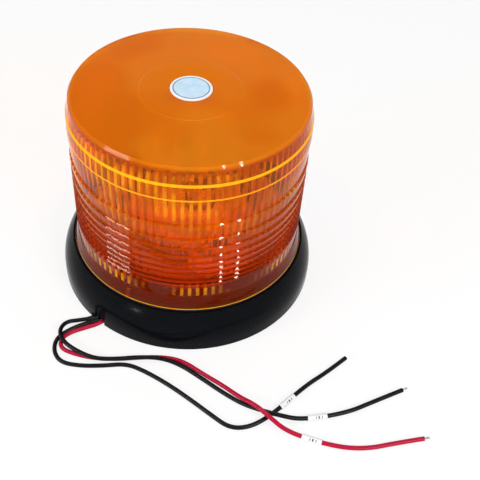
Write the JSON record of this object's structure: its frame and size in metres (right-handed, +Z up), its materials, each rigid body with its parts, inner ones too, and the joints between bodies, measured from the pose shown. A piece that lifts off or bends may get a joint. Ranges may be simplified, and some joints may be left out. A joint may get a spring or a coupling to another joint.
{
  "type": "rotating beacon",
  "caption": "Amber warning beacon: ribbed drum lens on a flared black base, a motor-driven mirror turning round a fixed lamp, and free hook-up leads from a notch in the base.",
  "frame": {"origin": "centre of the base's underside, on the surface it stands on", "axes": "+Z up the dome's axis, -Y towards the side that the leads leave to"},
  "size_m": [0.2025, 0.2128, 0.1233],
  "materials": {
    "amber_lens": "clear amber polycarbonate, polished",
    "black_shell": "glossy moulded black",
    "black_cover": "fine moulded grain",
    "black_rubber": "matt rubber",
    "brass_insert": "turned and knurled",
    "zinc_steel": "zinc plated",
    "spring_steel": "oiled spring steel",
    "plate_steel": "bright plated sheet",
    "label_disc": "printed white film",
    "insulator": "moulded phenolic",
    "cap_brass": "drawn brass",
    "bulb_glass": "clear glass",
    "bronze_bush": "oil-filled sintered bronze",
    "gear_plastic": "natural acetal",
    "mirror_metal": "bright rolled aluminium",
    "rivet_aluminium": "drawn",
    "board_green": "solder mask",
    "sleeve_dark": "shrunk sleeve",
    "black_insulation": "soft PVC insulation",
    "red_insulation": "soft PVC insulation",
    "marker_white": "PVC marker sleeve",
    "tinned_strand": "twisted tinned strands"
  },
  "bodies": {
    "root": {"base_housing": "black_shell", "base_pad": "black_rubber", "black_lead_long": "black_insulation", "black_lead_short": "black_insulation", "black_long_bare_end": "tinned_strand", "black_long_marker": "marker_white", "black_short_marker": "marker_white", "board_screws": "zinc_steel", "bottom_cover": "black_cover", "capacitor": "sleeve_dark", "chassis_plate": "plate_steel", "chassis_screws": "zinc_steel", "choke": "insulator", "circuit_board": "board_green", "cover_screws": "zinc_steel", "idler_clip": "spring_steel", "idler_pin": "spring_steel", "internal_leads": "black_insulation", "lamp_bulb": "bulb_glass", "lamp_cap": "cap_brass", "lamp_contact": "insulator", "lampholder_tube": "plate_steel", "lead_grommet": "black_rubber", "lens_dome": "amber_lens", "lens_screws": "zinc_steel", "lens_seal": "black_rubber", "motor_can": "plate_steel", "motor_screws": "zinc_steel", "mounting_inserts": "brass_insert", "red_bare_end": "tinned_strand", "red_lead": "red_insulation", "red_marker": "marker_white", "rotor_circlip": "spring_steel", "terminal_block": "insulator", "thrust_washer": "zinc_steel", "top_label": "label_disc"},
    "rotor": {"rotor_gear": "gear_plastic", "rotor_bush": "bronze_bush", "mirror": "mirror_metal", "mirror_arm": "plate_steel", "mirror_rivets": "rivet_aluminium", "arm_screws": "zinc_steel", "counterweight": "plate_steel"},
    "idler": {"idler_gear": "gear_plastic"},
    "motor_rotor": {"motor_shaft": "spring_steel", "motor_pinion": "cap_brass"}
  },
  "joints": [
    {"name": "rotor_spin", "type": "hinge", "parent": "root", "child": "rotor", "pos_m": [0, 0, 0.045], "axis": [0, 0, 1], "continuous": true},
    {"name": "idler_spin", "type": "hinge", "parent": "root", "child": "idler", "pos_m": [0.0164, -0.02841, 0.037], "axis": [0, 0, 1], "continuous": true},
    {"name": "motor_spin", "type": "hinge", "parent": "root", "child": "motor_rotor", "pos_m": [-0.00309, -0.02391, 0.03], "axis": [0, 0, 1], "continuous": true}
  ],
  "couplings": [
    {"joint": "idler_spin", "follows": "rotor_spin", "ratio": -5.8333},
    {"joint": "motor_spin", "follows": "rotor_spin", "ratio": 23.333}
  ]
}
